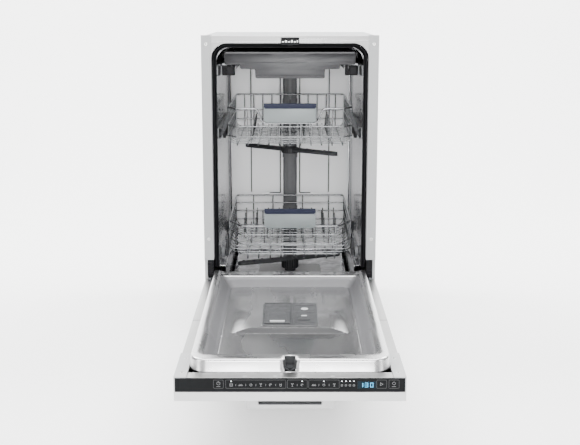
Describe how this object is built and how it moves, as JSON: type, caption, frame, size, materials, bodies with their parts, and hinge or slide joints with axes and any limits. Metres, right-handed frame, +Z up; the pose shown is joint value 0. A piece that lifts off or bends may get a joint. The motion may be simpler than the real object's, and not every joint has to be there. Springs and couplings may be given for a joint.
{
  "type": "built-in dishwasher",
  "caption": "Slimline built-in dishwasher with a drop-down door, cutlery tray, two pull-out baskets, spray arms, dispenser, touch strip and a bridge-handled furniture front.",
  "frame": {"origin": "on the floor, under the middle of the whole machine's box with the door open", "axes": "+X to the right seen from in front, +Y from the door's tip into the cabinet, +Z up"},
  "size_m": [0.448, 1.176, 0.815],
  "materials": {
    "tub_steel": "bright rolled stainless, slightly streaky",
    "rail_steel": "brushed stainless",
    "trim_grey": "light grey satin paint",
    "screw_steel": "bright steel screws",
    "seal_rubber": "black rubber",
    "galvanised": "galvanised sheet",
    "felt": "grey felt",
    "base_plastic": "dark moulded plastic",
    "foot_plastic": "black plastic",
    "inner_plastic": "grey moulded plastic",
    "filter_steel": "fine steel mesh",
    "dark_plastic": "dark grey plastic",
    "white_plastic": "white plastic",
    "striker": "black and white plastic",
    "rail_black": "black plastic",
    "door_steel": "stainless door sheet",
    "liner_steel": "stainless inner door",
    "strip_black": "glossy black",
    "display": "dark display window",
    "bracket_grey": "grey plastic",
    "dispenser_grey": "grey plastic",
    "front_white": "white kitchen front",
    "handle_grey": "light grey metal",
    "wire": "silver grey coated wire",
    "rack_grip": "grey plastic with a dark strip",
    "tray_grey": "grey plastic",
    "motor_metal": "dark painted motor",
    "brass_part": "threaded stub"
  },
  "bodies": {
    "cabinet": {"tub_shell": "tub_steel", "front_top_rail": "rail_steel", "side_trim_left": "trim_grey", "side_trim_right": "trim_grey", "trim_screws": "screw_steel", "door_gasket": "seal_rubber", "side_panel_left": "galvanised", "side_panel_right": "galvanised", "top_cover": "galvanised", "rear_panel": "galvanised", "insulation_blanket": "felt", "base_pan": "base_plastic", "sump_housing": "dark_plastic", "filter_plate": "filter_steel", "salt_container": "white_plastic", "circulation_pump": "motor_metal", "drain_pump": "motor_metal", "inlet_valve": "brass_part", "power_inlet": "base_plastic", "water_duct": "inner_plastic", "latch_striker": "striker", "upper_rails": "galvanised", "tray_rails": "galvanised", "hinge_brackets": "galvanised"},
    "foot_front_left": {"foot_front_left": "foot_plastic"},
    "foot_front_right": {"foot_front_right": "foot_plastic"},
    "foot_rear": {"foot_rear": "foot_plastic"},
    "filter_cylinder": {"filter_cylinder": "inner_plastic"},
    "salt_cap": {"salt_cap": "inner_plastic"},
    "pump_impeller": {"pump_impeller": "white_plastic"},
    "drain_impeller": {"drain_impeller": "white_plastic"},
    "door": {"door_outer_panel": "door_steel", "door_liner": "liner_steel", "control_strip": "strip_black", "display_window": "display", "control_module": "dark_plastic", "door_corner_brackets": "bracket_grey", "door_screws": "screw_steel", "dispenser_housing": "dispenser_grey", "furniture_panel": "front_white", "panel_handle": "handle_grey", "hinge_arms": "galvanised"},
    "latch_hook": {"latch_hook": "dark_plastic"},
    "detergent_lid": {"detergent_lid": "dispenser_grey"},
    "rinse_aid_lid": {"rinse_aid_lid": "dispenser_grey"},
    "lower_rack": {"lower_basket": "wire", "lower_basket_handle": "rack_grip"},
    "lower_wheels_front": {"lower_wheels_front": "inner_plastic"},
    "lower_wheels_rear": {"lower_wheels_rear": "inner_plastic"},
    "lower_fold_tines": {"lower_fold_tines": "wire"},
    "upper_slides": {"upper_slides": "galvanised"},
    "upper_carriers": {"upper_carriers": "rail_black"},
    "upper_rack": {"upper_basket": "wire", "upper_basket_handle": "rack_grip", "upper_feed_pipe": "inner_plastic"},
    "height_levers": {"height_levers": "dark_plastic"},
    "upper_spray_arm": {"upper_spray_arm": "dark_plastic"},
    "lower_spray_arm": {"lower_spray_arm": "dark_plastic"},
    "tray_slides": {"tray_slides": "galvanised"},
    "cutlery_tray": {"cutlery_tray": "tray_grey"}
  },
  "joints": [
    {"name": "door_hinge", "type": "hinge", "parent": "cabinet", "child": "door", "pos_m": [0, 0.055, 0.169], "axis": [-1, 0, 0], "range_deg": [0, 90], "stiffness_Nm_per_rad": 14, "springref_deg": 90},
    {"name": "lower_rack_slide", "type": "slide", "parent": "cabinet", "child": "lower_rack", "axis": [0, 1, 0], "range_m": [-0.43, 0]},
    {"name": "lower_wheels_front_roll", "type": "hinge", "parent": "lower_rack", "child": "lower_wheels_front", "pos_m": [0, 0.182, 0.227], "axis": [-1, 0, 0], "range_deg": [-1600, 1600]},
    {"name": "lower_wheels_rear_roll", "type": "hinge", "parent": "lower_rack", "child": "lower_wheels_rear", "pos_m": [0, 0.472, 0.227], "axis": [-1, 0, 0], "range_deg": [-1600, 1600]},
    {"name": "fold_tines_pivot", "type": "hinge", "parent": "lower_rack", "child": "lower_fold_tines", "pos_m": [0, 0.242, 0.23], "axis": [-1, 0, 0], "range_deg": [0, 84]},
    {"name": "upper_rack_slide", "type": "slide", "parent": "cabinet", "child": "upper_carriers", "axis": [0, 1, 0], "range_m": [-0.43, 0]},
    {"name": "upper_slides_travel", "type": "slide", "parent": "cabinet", "child": "upper_slides", "axis": [0, 1, 0], "range_m": [-0.215, 0]},
    {"name": "upper_rack_height", "type": "slide", "parent": "upper_carriers", "child": "upper_rack", "axis": [0, 0, 1], "range_m": [0, 0.05]},
    {"name": "height_levers_press", "type": "hinge", "parent": "upper_rack", "child": "height_levers", "pos_m": [0, 0.217, 0.585], "axis": [1, 0, 0], "range_deg": [0, 12], "stiffness_Nm_per_rad": 0.3},
    {"name": "upper_spray_arm_spin", "type": "hinge", "parent": "upper_rack", "child": "upper_spray_arm", "pos_m": [0, 0.337, 0.486], "axis": [0, 0, 1], "continuous": true},
    {"name": "lower_spray_arm_spin", "type": "hinge", "parent": "cabinet", "child": "lower_spray_arm", "pos_m": [0, 0.337, 0.164], "axis": [0, 0, 1], "continuous": true},
    {"name": "cutlery_tray_slide", "type": "slide", "parent": "cabinet", "child": "cutlery_tray", "axis": [0, 1, 0], "range_m": [-0.41, 0]},
    {"name": "tray_slides_travel", "type": "slide", "parent": "cabinet", "child": "tray_slides", "axis": [0, 1, 0], "range_m": [-0.205, 0]},
    {"name": "detergent_lid_slide", "type": "slide", "parent": "door", "child": "detergent_lid", "axis": [0, 1, 0], "range_m": [0, 0.062]},
    {"name": "rinse_aid_lid_flip", "type": "hinge", "parent": "door", "child": "rinse_aid_lid", "pos_m": [0.032, -0.278, 0.1914], "axis": [1, 0, 0], "range_deg": [0, 95]},
    {"name": "latch_hook_press", "type": "hinge", "parent": "door", "child": "latch_hook", "pos_m": [0, -0.544, 0.19], "axis": [-1, 0, 0], "range_deg": [0, 10], "stiffness_Nm_per_rad": 0.2},
    {"name": "filter_cylinder_turn", "type": "hinge", "parent": "cabinet", "child": "filter_cylinder", "pos_m": [0, 0.267, 0.13], "axis": [0, 0, 1], "range_deg": [0, 90]},
    {"name": "salt_cap_turn", "type": "hinge", "parent": "cabinet", "child": "salt_cap", "pos_m": [-0.128, 0.172, 0.135], "axis": [0, 0, 1], "range_deg": [0, 360]},
    {"name": "pump_impeller_spin", "type": "hinge", "parent": "cabinet", "child": "pump_impeller", "pos_m": [0, 0.17, 0.068], "axis": [1, 0, 0], "continuous": true},
    {"name": "drain_impeller_spin", "type": "hinge", "parent": "cabinet", "child": "drain_impeller", "pos_m": [0.13, 0.552, 0.066], "axis": [0, 1, 0], "continuous": true},
    {"name": "foot_front_left_turn", "type": "hinge", "parent": "cabinet", "child": "foot_front_left", "pos_m": [-0.185, 0.156, 0.02], "axis": [0, 0, 1], "continuous": true},
    {"name": "foot_front_right_turn", "type": "hinge", "parent": "cabinet", "child": "foot_front_right", "pos_m": [0.185, 0.156, 0.02], "axis": [0, 0, 1], "continuous": true},
    {"name": "foot_rear_turn", "type": "hinge", "parent": "cabinet", "child": "foot_rear", "pos_m": [0, 0.522, 0.02], "axis": [0, 0, 1], "continuous": true}
  ],
  "couplings": [
    {"joint": "lower_wheels_front_roll", "follows": "lower_rack_slide", "rad_per_m": 56.497},
    {"joint": "lower_wheels_rear_roll", "follows": "lower_rack_slide", "rad_per_m": 56.497},
    {"joint": "upper_slides_travel", "follows": "upper_rack_slide", "ratio": 0.5},
    {"joint": "tray_slides_travel", "follows": "cutlery_tray_slide", "ratio": 0.5}
  ]
}
